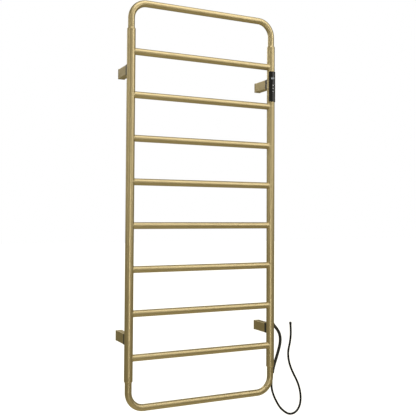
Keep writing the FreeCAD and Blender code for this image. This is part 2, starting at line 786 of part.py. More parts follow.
def make_wiring():
    """Terminal block, supply wire, sensor and thermal fuse inside the right post."""
    low = "control_z - board_height / 2 + terminal_height"
    block = box("terminal_block",
                ("post_x - cable_radius", "axis_y - board_front + board_thickness", low),
                ("post_x + wire_offset + wire_radius", "axis_y + cable_radius",
                 f"{low} + terminal_height"))
    keep(block, "terminal_block")

    along = gland_direction()
    mouth = gland_origin() + along * size("gland_tip")
    inside = gland_origin() + along * (size("gland_inner_end") / 4)
    wire_x = size("post_x") + size("wire_offset")
    rise = Vector(wire_x, size("axis_y"), size("gland_z") + size("gland_tip"))
    top = Vector(wire_x, size("axis_y"), terminal_top() - size("terminal_height"))
    edges, _ = rounded_edges([mouth, inside, rise, top], size("cable_radius") * 2)
    keep(solid("supply_wire", sweep(edges, size("wire_radius"))), "supply_wire")

    board_low = "control_z - board_height / 2"
    board_mid = "axis_y - board_front + board_thickness / 2"
    for name, x, drop in (("temperature_sensor", "post_x + sensor_radius", "sensor_drop"),
                          ("thermal_fuse", "post_x - sensor_radius", "2 * sensor_drop")):
        bead = cylinder(f"{name}_bead", "sensor_radius", "sensor_length", x, board_mid,
                        f"{board_low} - {drop} - sensor_length")
        lead = cylinder(f"{name}_lead", "lead_radius", drop, x, board_mid,
                        f"{board_low} - {drop}")
        keep(fuse(name, bead, lead), name)

    shank = cylinder("earth_shank", "earth_screw_radius", "post_wall + earth_screw_radius",
                     "post_x", "axis_y + post_inner - earth_screw_radius",
                     "-bracket_z + earth_screw_rise", Y_TURN)
    head = cylinder("earth_head", "2 * earth_screw_radius", "earth_screw_radius", "post_x",
                    "axis_y + post_radius", "-bracket_z + earth_screw_rise", Y_TURN)
    keep(fuse("earth_screw", shank, head), "earth_screw")


def make_gland():
    """The strain relief in the right post, a tapered nose, and the nut that holds it inside."""
    collar = gland_rod("gland_collar_rod", "gland_radius", "gland_inner_end", "gland_collar")
    nose = gland_rod("gland_nose", "gland_radius", "gland_collar", "gland_tip",
                     "gland_mouth_radius")
    post = cylinder("gland_saddle", "post_radius", "8 * gland_radius", "post_x", "axis_y",
                    "gland_z - 4 * gland_radius")
    outside = cut("gland_outside", fuse("gland_whole", collar, nose), post)
    stem = gland_rod("gland_stem", "gland_stem_radius", "gland_inner_end", "gland_collar")
    bore = gland_rod("gland_bore", "cord_radius", "gland_inner_end", "gland_tip")
    keep(cut("cable_gland", fuse("gland_body", outside, stem), bore), "cable_gland")
    ring = gland_rod("gland_nut_ring", "gland_nut_radius", "gland_inner_end", "gland_nut_top")
    thread = gland_rod("gland_nut_thread", "gland_stem_radius", "gland_inner_end", "gland_nut_top")
    keep(cut("gland_nut", ring, thread), "gland_nut")


# The supply lead's route from the gland's mouth, chosen by hand: distance to the right of the right
# post's axis, distance behind that axis, and height above the lower brackets' centre.
LEAD_ROUTE = [
    (28.4, 33.9, 13.5),
    (39.0, 43.0, 2.5),
    (56.0, 51.0, -11.5),
    (73.0, 57.0, -32.5),
    (77.0, 60.0, -60.5),
    (66.0, 61.0, -98.5),
    (50.0, 61.0, -140.5),
    (42.0, 60.0, -180.5),
    (43.0, 59.0, -218.5),
    (69.0, 58.0, -268.5),
    (90.0, 57.0, -288.5),
    (111.0, 57.0, -300.5),
    (134.5, 57.0, -297.5),
    (151.5, 58.0, -280.5),
    (157.0, 58.0, -254.5),
    (154.0, 59.0, -225.5),
    (144.0, 59.0, -196.5),
    (124.0, 60.0, -161.5),
    (110.0, 60.0, -128.5),
    (106.0, 60.0, -94.5),
    (115.0, 60.0, -61.5),
    (118.0, 59.0, -28.5),
    (115.0, 59.0, 3.5),
]
SLEEVED_CORNERS = 7


def make_lead():
    """The lead, the sleeve over its first part, and the cap on its free end."""
    base = Vector(size("post_x"), size("axis_y"), -size("bracket_z"))
    mouth = gland_origin() + gland_direction() * size("gland_tip")
    points = [mouth] + [base + Vector(*offset) for offset in LEAD_ROUTE]
    edges, radii = rounded_edges(points)
    print("lead radii:", " ".join(f"{radius:.0f}" for radius in radii))
    print(f"lead length: {Part.Wire(edges).Length:.0f}")
    keep(solid("cord", sweep(edges, size("cord_radius"))), "cord")

    covered = edges[:2 * SLEEVED_CORNERS]
    outer = sweep(covered, size("cord_sleeve_radius"))
    inner = sweep(covered, size("cord_radius") + size("cord_sleeve_play"))
    keep(solid("cord_sleeve", outer.cut(inner)), "cord_sleeve")

    tip = points[-1]
    along = (points[-1] - points[-2]).normalize()
    foot = tip - along * size("cap_cover")
    shell = Part.makeCylinder(size("cap_radius"), size("cap_cover") + size("cap_end"), foot, along)
    socket = Part.makeCylinder(size("cord_radius"), size("cap_cover"), foot, along)
    keep(solid("cord_end_cap", shell.cut(socket)), "cord_end_cap")


# --------------------------------------------------------------------------------- whole rack
for side_name in SIDES:
    make_post(side_name)
for rung_number in range(1, int(size("rung_count")) + 1):
    make_rung(rung_number)
for end_name in ENDS:
    make_bend(end_name)
    for side_name in SIDES:
        make_collar(side_name, end_name)
for side_name in SIDES:
    for end_name in ENDS:
        make_anchor(side_name, end_name)
        make_sleeve(side_name, end_name)
        make_spacer(side_name, end_name)
make_bracket_hardware()
make_control_shells()
make_control_electronics()
for key_number in (1, 2, 3):
    make_key(key_number)
make_heating_cable()
make_wiring()
make_gland()
make_lead()

document.recompute()

# ------------------------------------------------------------------------------ check and write
for item in document.Objects:
    if "Invalid" in item.State or "Error" in item.State:
        raise RuntimeError(f"{item.Label} failed: {item.State}")
for node in nodes:
    if node.Shape.isNull() or not node.Shape.isValid() or not node.Shape.Solids:
        raise RuntimeError(f"{node.Label} has no valid solid")

os.makedirs("parts", exist_ok=True)
for node in nodes:
    node.Shape.exportStep(f"parts/{node.Label}.step")
    print(f"{node.Label}: {len(node.Shape.Solids)} solid(s), {node.Shape.Volume:.0f} mm3")
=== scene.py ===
import math

import bmesh
import bpy
from mathutils import Matrix, Vector


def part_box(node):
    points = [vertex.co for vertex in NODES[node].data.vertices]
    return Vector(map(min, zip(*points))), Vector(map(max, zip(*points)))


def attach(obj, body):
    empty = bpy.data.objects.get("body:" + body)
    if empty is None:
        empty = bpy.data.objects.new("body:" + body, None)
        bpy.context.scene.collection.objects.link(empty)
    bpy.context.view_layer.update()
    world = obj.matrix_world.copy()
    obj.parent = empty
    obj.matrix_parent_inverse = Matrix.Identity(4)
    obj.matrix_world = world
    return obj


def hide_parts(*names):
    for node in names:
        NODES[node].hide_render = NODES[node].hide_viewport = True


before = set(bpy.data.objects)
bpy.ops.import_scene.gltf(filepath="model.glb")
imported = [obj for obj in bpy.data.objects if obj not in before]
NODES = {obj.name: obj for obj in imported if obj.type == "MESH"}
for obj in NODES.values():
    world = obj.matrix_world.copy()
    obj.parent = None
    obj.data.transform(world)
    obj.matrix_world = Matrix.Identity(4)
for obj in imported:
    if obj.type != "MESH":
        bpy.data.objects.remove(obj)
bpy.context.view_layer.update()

MM = 0.001
SIDES = {"left": -1, "right": 1}

# Places taken from the frame. The rack hangs on the wall plane y = 0 and faces -Y.
POST_LOW, POST_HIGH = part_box("left_post")
POST_RADIUS = (POST_HIGH.x - POST_LOW.x) / 2
POST_X = -(POST_LOW.x + POST_HIGH.x) / 2
AXIS_Y = POST_LOW.y + POST_RADIUS
RUNG_LOW, RUNG_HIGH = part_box("rung_1")
RUNG_RADIUS = (RUNG_HIGH.z - RUNG_LOW.z) / 2
BRACKET_LOW, BRACKET_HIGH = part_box("bracket_sleeve_right_bottom")
BRACKET_Z = (BRACKET_LOW.z + BRACKET_HIGH.z) / 2
BAR_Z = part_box("top_bend")[1].z - RUNG_RADIUS
# The end bends' radius to the tube's middle, as in the CAD source.
BEND_RADIUS = 47.5 * MM


# ------------------------------------------------------------------------------------ camera
# Turns in radians; the yaw is to the right of the rack's normal, seen from the camera.
CAMERA_YAW = 0.461
CAMERA_PITCH = 0.0306
CAMERA_ROLL = 0.0054
CAMERA_PLACE = Vector((-0.8925, AXIS_Y - 1.8409, -0.0317))


def make_camera():
    """A camera to the left of the rack, about level with its middle."""
    data = bpy.data.cameras.new("camera")
    data.sensor_width = 36.0
    data.lens = 58.09
    data.shift_x = -0.0054
    data.shift_y = -0.0324
    data.clip_end = 60.0
    forward = Vector((math.sin(CAMERA_YAW) * math.cos(CAMERA_PITCH),
                      math.cos(CAMERA_YAW) * math.cos(CAMERA_PITCH), math.sin(CAMERA_PITCH)))
    level = Vector((math.cos(CAMERA_YAW), -math.sin(CAMERA_YAW), 0.0))
    upward = level.cross(forward)
    right = level * math.cos(CAMERA_ROLL) + upward * math.sin(CAMERA_ROLL)
    top = upward * math.cos(CAMERA_ROLL) - level * math.sin(CAMERA_ROLL)
    turn = Matrix((right, top, -forward)).transposed()
    camera = bpy.data.objects.new("camera", data)
    camera.matrix_world = Matrix.Translation(CAMERA_PLACE) @ turn.to_4x4()
    bpy.context.scene.collection.objects.link(camera)
    bpy.context.scene.camera = camera


# ----------------------------------------------------------------------------- node materials
# A noise's values lie mostly between these two, so ramps run from the first to the second.
NOISE_LOW, NOISE_HIGH = 0.3, 0.7


class Shader:
    """A material's nodes, with short calls for the ones used here."""

    def __init__(self, name, **values):
        self.material = bpy.data.materials.new(name)
        self.material.use_nodes = True
        self.tree = self.material.node_tree
        self.surface = self.tree.nodes["Principled BSDF"]
        for socket, value in values.items():
            self.surface.inputs[socket.replace("_", " ")].default_value = value

    def node(self, kind, **settings):
        """A new node of a kind, with its settings."""
        made = self.tree.nodes.new(kind)
        for name, value in settings.items():
            setattr(made, name, value)
        return made

    def link(self, source, target):
        self.tree.links.new(source, target)

    def math(self, operation, first, second=None, third=None):
        """One arithmetic step on sockets or plain numbers."""
        step = self.node("ShaderNodeMath", operation=operation)
        for socket, value in zip(step.inputs, (first, second, third)):
            if value is None:
                continue
            if isinstance(value, (int, float)):
                socket.default_value = value
            else:
                self.link(value, socket)
        return step.outputs["Value"]

    def position(self):
        """The place in the row frame, in metres."""
        return self.node("ShaderNodeTexCoord").outputs["Object"]

    def scaled(self, vector, scale):
        """A vector multiplied by a number of its own along each axis."""
        mapping = self.node("ShaderNodeMapping")
        mapping.inputs["Scale"].default_value = scale
        self.link(vector, mapping.inputs["Vector"])
        return mapping.outputs["Vector"]

    def noise(self, vector, scale=1.0, detail=3.0, roughness=0.5):
        """A smooth random value at each place; a higher scale makes it change faster."""
        texture = self.node("ShaderNodeTexNoise")
        texture.inputs["Scale"].default_value = scale
        texture.inputs["Detail"].default_value = detail
        texture.inputs["Roughness"].default_value = roughness
        self.link(vector, texture.inputs["Vector"])
        return texture.outputs["Fac"]

    def between(self, factor, low, high):
        """A number that follows a noise between two values."""
        scale = self.node("ShaderNodeMapRange")
        scale.inputs["From Min"].default_value = NOISE_LOW
        scale.inputs["From Max"].default_value = NOISE_HIGH
        scale.inputs["To Min"].default_value = low
        scale.inputs["To Max"].default_value = high
        self.link(factor, scale.inputs["Value"])
        return scale.outputs["Result"]

    def colours(self, factor, first, second):
        """A base colour that follows a noise between two colours."""
        ramp = self.node("ShaderNodeValToRGB")
        ramp.color_ramp.elements[0].position = NOISE_LOW
        ramp.color_ramp.elements[0].color = (*first, 1.0)
        ramp.color_ramp.elements[1].position = NOISE_HIGH
        ramp.color_ramp.elements[1].color = (*second, 1.0)
        self.link(factor, ramp.inputs["Fac"])
        self.link(ramp.outputs["Color"], self.surface.inputs["Base Color"])

    def bump(self, height, distance):
        """Small relief, as deep as the distance in metres."""
        bump = self.node("ShaderNodeBump")
        bump.inputs["Distance"].default_value = distance
        bump.inputs["Strength"].default_value = 1.0
        self.link(height, bump.inputs["Height"])
        self.link(bump.outputs["Normal"], self.surface.inputs["Normal"])

    def rough(self, factor, low, high):
        """A roughness that follows a noise between two values."""
        self.link(self.between(factor, low, high), self.surface.inputs["Roughness"])

    def glow(self, colour, strength):
        """Light of one colour, as strong as a socket says."""
        self.surface.inputs["Emission Color"].default_value = (*colour, 1.0)
        self.link(strength, self.surface.inputs["Emission Strength"])


GOLD_DARK = (0.545, 0.440, 0.240)
GOLD_LIGHT = (0.595, 0.485, 0.268)
# How fast the brush lines change, per metre: across the lines, and along them.
LINES = 2600.0
DRIFT = 40.0


def gold_finish(shader, grain):
    """Satin champagne gold: brush lines in the gloss, and slow clouds in the tint."""
    lines = shader.noise(grain, detail=3.0, roughness=0.6)
    cloud = shader.noise(shader.position(), scale=9.0, detail=2.0)
    shader.colours(cloud, GOLD_DARK, GOLD_LIGHT)
    shader.rough(lines, 0.35, 0.48)
    shader.bump(lines, 0.00001)
    return shader.material


def gold_shader(name):
    """A metal under a thin satin coat."""
    return Shader(name, Metallic=1.0, Coat_Weight=0.25, Coat_Roughness=0.35, Coat_IOR=1.5)


def brushed_gold(name, grain):
    """Gold brushed along a straight tube; grain is how fast the lines change along X, Y and Z."""
    shader = gold_shader(name)
    return gold_finish(shader, shader.scaled(shader.position(), grain))


def bent_gold():
    """Gold whose brush lines follow the end bends round their corners."""
    shader = gold_shader("brushed_gold_bent")
    split = shader.node("ShaderNodeSeparateXYZ")
    shader.link(shader.position(), split.inputs["Vector"])
    straight_x = POST_X - BEND_RADIUS
    straight_z = BAR_Z - BEND_RADIUS
    over_x = shader.math("SUBTRACT", shader.math("ABSOLUTE", split.outputs["X"]), straight_x)
    over_z = shader.math("SUBTRACT", shader.math("ABSOLUTE", split.outputs["Z"]), straight_z)
    over_x = shader.math("MAXIMUM", over_x, 0.0)
    over_z = shader.math("MAXIMUM", over_z, 0.0)
    squares = shader.math("MULTIPLY_ADD", over_x, over_x, shader.math("MULTIPLY", over_z, over_z))
    across = shader.math("SQRT", squares)
    along = shader.math("ADD", split.outputs["X"], split.outputs["Z"])
    joined = shader.node("ShaderNodeCombineXYZ")
    shader.link(across, joined.inputs["X"])
    shader.link(split.outputs["Y"], joined.inputs["Y"])
    shader.link(along, joined.inputs["Z"])
    return gold_finish(shader, shader.scaled(joined.outputs["Vector"], (LINES, LINES, DRIFT)))


def cast_gold():
    """The wall anchors: the same gold over a fine cast grain."""
    shader = Shader("cast_gold", Metallic=1.0)
    grain = shader.noise(shader.position(), scale=1400.0, detail=4.0)
    shader.colours(grain, (0.46, 0.38, 0.22), (0.54, 0.45, 0.27))
    shader.rough(grain, 0.45, 0.62)
    shader.bump(grain, 0.00004)
    return shader.material


def grained(name, first, second, roughness, scale=700.0, depth=0.00003, **values):
    """A fine-grained surface whose tint and gloss vary a little with the grain."""
    shader = Shader(name, **values)
    grain = shader.noise(shader.position(), scale=scale, detail=4.0)
    shader.colours(grain, first, second)
    shader.rough(grain, roughness - 0.05, roughness + 0.05)
    shader.bump(grain, depth)
    return shader.material


def turned_metal(name, first, second, roughness):
    """A lathe-cut or rolled metal whose fine tool marks follow one another along Y."""
    shader = Shader(name, Metallic=1.0)
    marks = shader.noise(shader.scaled(shader.position(), (300.0, 4000.0, 300.0)), detail=3.0)
    shader.colours(marks, first, second)
    shader.rough(marks, roughness - 0.08, roughness + 0.08)
    shader.bump(marks, 0.00003)
    return shader.material


def smoked_glass():
    """The display's window, with a faint film on it."""
    shader = Shader("smoked_glass", Transmission_Weight=1.0, IOR=1.45)
    film = shader.noise(shader.position(), scale=180.0, detail=2.0)
    shader.colours(film, (0.66, 0.69, 0.72), (0.70, 0.73, 0.76))
    shader.rough(film, 0.02, 0.06)
    return shader.material


def solder_mask():
    """Green board lacquer over faint copper tracks."""
    shader = Shader("solder_mask", Coat_Weight=0.4)
    tracks = shader.node("ShaderNodeTexBrick")
    tracks.inputs["Scale"].default_value = 400.0
    tracks.inputs["Mortar Size"].default_value = 0.08
    tracks.inputs["Color1"].default_value = (0.010, 0.100, 0.040, 1.0)
    tracks.inputs["Color2"].default_value = (0.014, 0.120, 0.048, 1.0)
    tracks.inputs["Mortar"].default_value = (0.030, 0.190, 0.080, 1.0)
    turned = shader.node("ShaderNodeMapping")
    turned.inputs["Rotation"].default_value = (math.pi / 2, 0.0, 0.0)
    shader.link(shader.position(), turned.inputs["Vector"])
    shader.link(turned.outputs["Vector"], tracks.inputs["Vector"])
    shader.link(tracks.outputs["Color"], shader.surface.inputs["Base Color"])
    shader.rough(shader.noise(shader.position(), scale=500.0), 0.30, 0.42)
    shader.bump(tracks.outputs["Fac"], 0.00003)
    return shader.material


def lit_symbol():
    """Pale digits and icons, lit from behind a little unevenly."""
    shader = Shader("lit_symbol", Roughness=0.4)
    unevenness = shader.noise(shader.position(), scale=600.0, detail=2.0)
    shader.colours(unevenness, (0.50, 0.50, 0.50), (0.58, 0.58, 0.58))
    shader.glow((0.95, 0.98, 1.0), shader.between(unevenness, 0.30, 0.42))
    return shader.material


def braid_thread():
    """Black polyester threads: fine twisted lines in colour and height."""
    shader = Shader("braid_thread", Sheen_Weight=0.15, Sheen_Roughness=0.5)
    threads = shader.noise(shader.position(), scale=3200.0, detail=4.0, roughness=0.65)
    shader.colours(threads, (0.006, 0.006, 0.006), (0.017, 0.017, 0.017))
    shader.rough(threads, 0.50, 0.68)
    shader.bump(threads, 0.00005)
    return shader.material


MATERIALS = {
    "upright": brushed_gold("brushed_gold_upright", (LINES, LINES, DRIFT)),
    "level": brushed_gold("brushed_gold_level", (DRIFT, LINES, LINES)),
    "deep": brushed_gold("brushed_gold_deep", (LINES, DRIFT, LINES)),
    "bent": bent_gold(),
    "cast": cast_gold(),
    "black_plastic": grained("black_plastic", (0.010, 0.010, 0.011), (0.017, 0.017, 0.018), 0.46),
    "gloss_black": grained("gloss_black", (0.007, 0.007, 0.008), (0.010, 0.010, 0.012), 0.14,
                           scale=220.0, depth=0.000004),
    "key_black": grained("key_black", (0.009, 0.009, 0.010), (0.014, 0.014, 0.015), 0.26,
                         scale=900.0, depth=0.00001),
    "display_glass": smoked_glass(),
    "display_dark": grained("display_dark", (0.010, 0.010, 0.012), (0.018, 0.018, 0.020), 0.30),
    "board_green": solder_mask(),
    "steel": turned_metal("zinc_steel", (0.48, 0.48, 0.47), (0.58, 0.58, 0.58), 0.34),
    "brass": turned_metal("turned_brass", (0.62, 0.48, 0.21), (0.72, 0.56, 0.27), 0.30),
    "foam": grained("foam_rubber", (0.018, 0.018, 0.018), (0.034, 0.034, 0.034), 0.85,
                    scale=2600.0, depth=0.0002),
    "white_plastic": grained("white_plastic", (0.68, 0.68, 0.65), (0.76, 0.76, 0.73), 0.42),
    "silicone": grained("silicone_jacket", (0.30, 0.060, 0.040), (0.38, 0.085, 0.055), 0.50,
                        scale=900.0),
    "cord_rubber": grained("cord_rubber", (0.006, 0.006, 0.006), (0.011, 0.011, 0.011), 0.50,
                           scale=900.0, Specular_IOR_Level=0.3),
    "braid": braid_thread(),
    "lit": lit_symbol(),
}


def give(piece, material):
    """Make a material the piece's only one."""
    piece.data.materials.clear()
    piece.data.materials.append(MATERIALS[material])


# ------------------------------------------------------------------------------ mesh building
# Edges sharper than this, in degrees, are rounded.
SHARP_ANGLE = 40.0
TURNED_POINTS = 48


def finish_piece(name, mesh, material, body="rack", replaces=(), smooth=True, bevel=0.0):
    """Turn a bmesh into a piece that rides on a body and wears a material."""
    bmesh.ops.recalc_face_normals(mesh, faces=mesh.faces)
    data = bpy.data.meshes.new(name)
    mesh.to_mesh(data)
    mesh.free()
    for face in data.polygons:
        face.use_smooth = smooth
    piece = bpy.data.objects.new(name, data)
    bpy.context.scene.collection.objects.link(piece)
    if bevel:
        round_edges(piece, bevel)
    give(piece, material)
    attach(piece, body)
    if replaces:
        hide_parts(*replaces)
    return piece


def round_edges(piece, width):
    """Break a piece's sharp edges with a small round."""
    bevel = piece.modifiers.new("edge_round", "BEVEL")
    bevel.width = width
    bevel.segments = 3
    bevel.limit_method = "ANGLE"
    bevel.angle_limit = math.radians(SHARP_ANGLE)
    bevel.harden_normals = True


def join_rings(mesh, rings, closed_along=False):
    """Skin between rings of equally many points, with caps unless the rings close on the first."""
    rows = [[mesh.verts.new(point) for point in ring] for ring in rings]
    count = len(rows[0])
    last = len(rows) if closed_along else len(rows) - 1
    for index in range(last):
        near, far = rows[index], rows[(index + 1) % len(rows)]
        for spot in range(count):
            after = (spot + 1) % count
            mesh.faces.new((near[spot], near[after], far[after], far[spot]))
    if not closed_along:
        mesh.faces.new(list(reversed(rows[0])))
        mesh.faces.new(rows[-1])


def lathe(mesh, foot, axis, profile):
    """A turned solid; the profile lists (distance along, radius, across-flats or None)."""
    first = axis.orthogonal().normalized()
    second = axis.cross(first).normalized()
    rings = []
    for along, radius, flats in profile:
        ring = []
        for step in range(TURNED_POINTS):
            angle = 2 * math.pi * step / TURNED_POINTS
            reach = radius
            if flats:
                turned = (angle + math.pi / 6) % (math.pi / 3) - math.pi / 6
                reach = min(radius, flats / 2 / math.cos(turned))
            offset = first * math.cos(angle) + second * math.sin(angle)
            ring.append(foot + axis * along + offset * reach)
        rings.append(ring)
    join_rings(mesh, rings)


# ------------------------------------------------------------------------ rung and post joints
BRAZE = 1.7 * MM
# The fillet's foot starts this far inside the rung's surface, so that no gap shows.
BRAZE_OVERLAP = 0.1 * MM
BRAZE_TURNS = 64
BRAZE_BENDS = 5


def on_post(side, height, angle, radius):
    """The point of a post's inner side that lies at a radius and an angle about a rung's axis."""
    y = radius * math.cos(angle)
    z = radius * math.sin(angle)
    x = side * (POST_X - math.sqrt(POST_RADIUS ** 2 - y ** 2))
    return Vector((x, AXIS_Y + y, height + z))


def make_braze_fillets(number):
    """The small concave fillet of brazing metal where each end of a rung meets its post."""
    low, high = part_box(f"rung_{number}")
    height = (low.z + high.z) / 2
    mesh = bmesh.new()
    for side in SIDES.values():
        rings = []
        for step in range(BRAZE_TURNS):
            angle = 2 * math.pi * step / BRAZE_TURNS
            corner = on_post(side, height, angle, RUNG_RADIUS - BRAZE_OVERLAP)
            root = on_post(side, height, angle, RUNG_RADIUS)
            post_edge = on_post(side, height, angle, RUNG_RADIUS + BRAZE)
            rung_edge = root - Vector((side * BRAZE, 0.0, 0.0))
            ring = [corner]
            for bend in range(BRAZE_BENDS):
                t = bend / (BRAZE_BENDS - 1)
                curve = post_edge * (1 - t) ** 2 + root * (2 * t * (1 - t)) + rung_edge * t ** 2
                ring.append(curve)
            rings.append(ring)
        join_rings(mesh, rings, closed_along=True)
    finish_piece(f"rung_{number}_braze", mesh, "level")


# -------------------------------------------------------------------------------- control unit
KEY_FACE = AXIS_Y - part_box("key_1")[0].y
KEY_FLANGE_DEPTH = 0.8 * MM
KEY_FLANGE_CORNER = 0.6 * MM
KEY_CAP_WIDTH = 6.4 * MM
KEY_CAP_HEIGHT = 5.4 * MM
KEY_CAP_CORNER = 0.9 * MM
KEY_CAP_ROUND = 0.25 * MM
SIGN_REACH = 2.1 * MM
SIGN_STROKE = 0.9 * MM
SIGN_LIFT = 0.03 * MM
POWER_RADIUS = 1.7 * MM
DISPLAY_LOW, DISPLAY_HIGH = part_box("display_module")
# A plate's corners have a point at every so many degrees, and half its face this many strips.
CORNER_STEP = 15
FACE_STRIPS = 6


def add_plate(mesh, middle_z, width, height, corner, back, face=None, front=None):
    """A rounded rectangle in front of the post's axis, with its back at one distance from it.

    Its front is flat at the distance front, or else curved about the axis at the radius face.
    """
    half_width, half_height = width / 2, height / 2
    arc = [math.radians(angle) for angle in range(0, 91, CORNER_STEP)]
    offsets = [half_width - corner + corner * math.sin(angle) for angle in arc]
    flat = half_width - corner
    columns = [-offset for offset in reversed(offsets)]
    columns += [flat * share / FACE_STRIPS for share in range(1 - FACE_STRIPS, FACE_STRIPS)]
    columns += offsets
    rows = []
    for offset in columns:
        over = max(abs(offset) - flat, 0.0)
        reach = half_height - corner + math.sqrt(max(corner ** 2 - over ** 2, 0.0))
        front_y = AXIS_Y - (front or math.sqrt(face ** 2 - offset ** 2))
        back_y = AXIS_Y - back
        x = POST_X + offset
        rows.append([(x, front_y, middle_z - reach), (x, front_y, middle_z + reach),
                     (x, back_y, middle_z + reach), (x, back_y, middle_z - reach)])
    join_rings(mesh, rows)


def add_stroke(mesh, points, width, face, depth, flat=False):
    """A ribbon through points (offset from the post's axis, height) on a curved or flat face."""
    rings = []
    for index, point in enumerate(points):
        before = points[max(index - 1, 0)]
        after = points[min(index + 1, len(points) - 1)]
        way = Vector((after[0] - before[0], after[1] - before[1])).normalized()
        across = Vector((-way.y, way.x)) * (width / 2)
        ring = []
        for side, lift in ((1, depth), (-1, depth), (-1, -depth), (1, -depth)):
            offset = point[0] + side * across.x
            height = point[1] + side * across.y
            reach = face if flat else math.sqrt(face ** 2 - offset ** 2)
            ring.append((POST_X + offset, AXIS_Y - reach - lift, height))
        rings.append(ring)
    join_rings(mesh, rings)


def key_symbol(number, height):
    """Strokes of the power, plus and minus signs, as lists of points about the key's middle."""
    level = [(-SIGN_REACH + share * SIGN_REACH / 4, height) for share in range(9)]
    if number == 1:
        turn = [math.radians(angle) for angle in range(130, 411, 20)]
        middle = height - 0.2 * MM
        ring = [(POWER_RADIUS * math.cos(angle), middle + POWER_RADIUS * math.sin(angle))
                for angle in turn]
        return [ring, [(0.0, height + 0.1 * MM), (0.0, height + SIGN_REACH)]]
    if number == 2:
        return [level, [(0.0, height - SIGN_REACH), (0.0, height + SIGN_REACH)]]
    return [level]


def make_key(number):
    """A push key with softly rounded edges and its lit sign."""
    low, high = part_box(f"key_{number}")
    height = (low.z + high.z) / 2
    rear = AXIS_Y - high.y
    face = KEY_FACE - SIGN_LIFT
    mesh = bmesh.new()
    add_plate(mesh, height, KEY_CAP_WIDTH, KEY_CAP_HEIGHT, KEY_CAP_CORNER,
              rear + KEY_FLANGE_DEPTH / 2, face=face)
    add_plate(mesh, height, high.x - low.x, high.z - low.z, KEY_FLANGE_CORNER, rear,
              front=rear + KEY_FLANGE_DEPTH)
    finish_piece(f"key_{number}_cap", mesh, "key_black", f"key_{number}",
                 replaces=(f"key_{number}",), smooth=False, bevel=KEY_CAP_ROUND)
    sign = bmesh.new()
    for stroke in key_symbol(number, height):
        add_stroke(sign, stroke, SIGN_STROKE, face, SIGN_LIFT)
    finish_piece(f"key_{number}_sign", sign, "lit", f"key_{number}", smooth=False)


# Which of the seven segments each digit lights: top, upper right, lower right, bottom, lower left,
# upper left, middle.
SEGMENTS = {"5": (1, 0, 1, 1, 0, 1, 1), "0": (1, 1, 1, 1, 1, 1, 0)}
# Where each digit's middle lies, to the right of the post's axis.
DIGITS = (("5", -3.4 * MM), ("0", 1.4 * MM))
DIGIT_HALF_WIDTH = 1.65 * MM
DIGIT_HALF_HEIGHT = 2.75 * MM
DIGIT_GAP = 0.15 * MM
DIGIT_STROKE = 1.05 * MM
DIGIT_DEPTH = 0.12 * MM
DEGREE_X = 5.1 * MM
DEGREE_RISE = 1.9 * MM
DEGREE_RADIUS = 0.9 * MM
DEGREE_STROKE = 0.6 * MM


def make_readout():
    """A two-digit temperature and a degree ring on the display behind its window."""
    middle = (DISPLAY_LOW.z + DISPLAY_HIGH.z) / 2
    face = AXIS_Y - DISPLAY_LOW.y
    top, bottom = middle + DIGIT_HALF_HEIGHT, middle - DIGIT_HALF_HEIGHT
    mesh = bmesh.new()
    for digit, centre in DIGITS:
        left, right = centre - DIGIT_HALF_WIDTH, centre + DIGIT_HALF_WIDTH
        segments = [((left, top), (right, top)), ((right, top), (right, middle)),
                    ((right, middle), (right, bottom)), ((left, bottom), (right, bottom)),
                    ((left, middle), (left, bottom)), ((left, top), (left, middle)),
                    ((left, middle), (right, middle))]
        for lit, (start, end) in zip(SEGMENTS[digit], segments):
            if lit:
                first, last = Vector(start), Vector(end)
                trim = (last - first).normalized() * DIGIT_GAP
                add_stroke(mesh, [tuple(first + trim), tuple(last - trim)], DIGIT_STROKE, face,
                           DIGIT_DEPTH, flat=True)
    ring = [(DEGREE_X + DEGREE_RADIUS * math.cos(math.radians(angle)),
             middle + DEGREE_RISE + DEGREE_RADIUS * math.sin(math.radians(angle)))
            for angle in range(0, 361, 30)]
    add_stroke(mesh, ring, DEGREE_STROKE, face, DIGIT_DEPTH, flat=True)
    finish_piece("display_digits", mesh, "lit", smooth=False)


# -------------------------------------------------------------------------------- supply lead
# The route from the gland's mouth: distance to the right of the right post's axis, distance behind
# that axis, and height above the lower brackets' centre, in millimetres, as in the CAD source.
LEAD_ROUTE = [
    (28.4, 33.9, 13.5),
    (39.0, 43.0, 2.5),
    (56.0, 51.0, -11.5),
    (73.0, 57.0, -32.5),
    (77.0, 60.0, -60.5),
    (66.0, 61.0, -98.5),
    (50.0, 61.0, -140.5),
    (42.0, 60.0, -180.5),
    (43.0, 59.0, -218.5),
    (69.0, 58.0, -268.5),
    (90.0, 57.0, -288.5),
    (111.0, 57.0, -300.5),
    (134.5, 57.0, -297.5),
    (151.5, 58.0, -280.5),
    (157.0, 58.0, -254.5),
    (154.0, 59.0, -225.5),
    (144.0, 59.0, -196.5),
    (124.0, 60.0, -161.5),
    (110.0, 60.0, -128.5),
    (106.0, 60.0, -94.5),
    (115.0, 60.0, -61.5),
    (118.0, 59.0, -28.5),
    (115.0, 59.0, 3.5),
]
LEAD_RADIUS = 3.5 * MM
# The gland points backwards, to the right and a little down, from the right post's axis.
GLAND_AZIMUTH = math.radians(50.0)
GLAND_TILT = math.radians(20.0)
GLAND_RISE = 29.5 * MM
GLAND_TIP = 33.0 * MM
GLAND_AXIS = Vector((math.cos(GLAND_AZIMUTH) * math.cos(GLAND_TILT),
                     math.sin(GLAND_AZIMUTH) * math.cos(GLAND_TILT), -math.sin(GLAND_TILT)))
GLAND_FOOT = Vector((POST_X, AXIS_Y, BRACKET_Z + GLAND_RISE))
LEAD_EXIT = GLAND_FOOT + GLAND_AXIS * GLAND_TIP


def lead_points():
    """The lead's control points, from its exit at the gland's mouth."""
    base = Vector((POST_X, AXIS_Y, BRACKET_Z))
    return [LEAD_EXIT] + [base + Vector(offset) * MM for offset in LEAD_ROUTE]


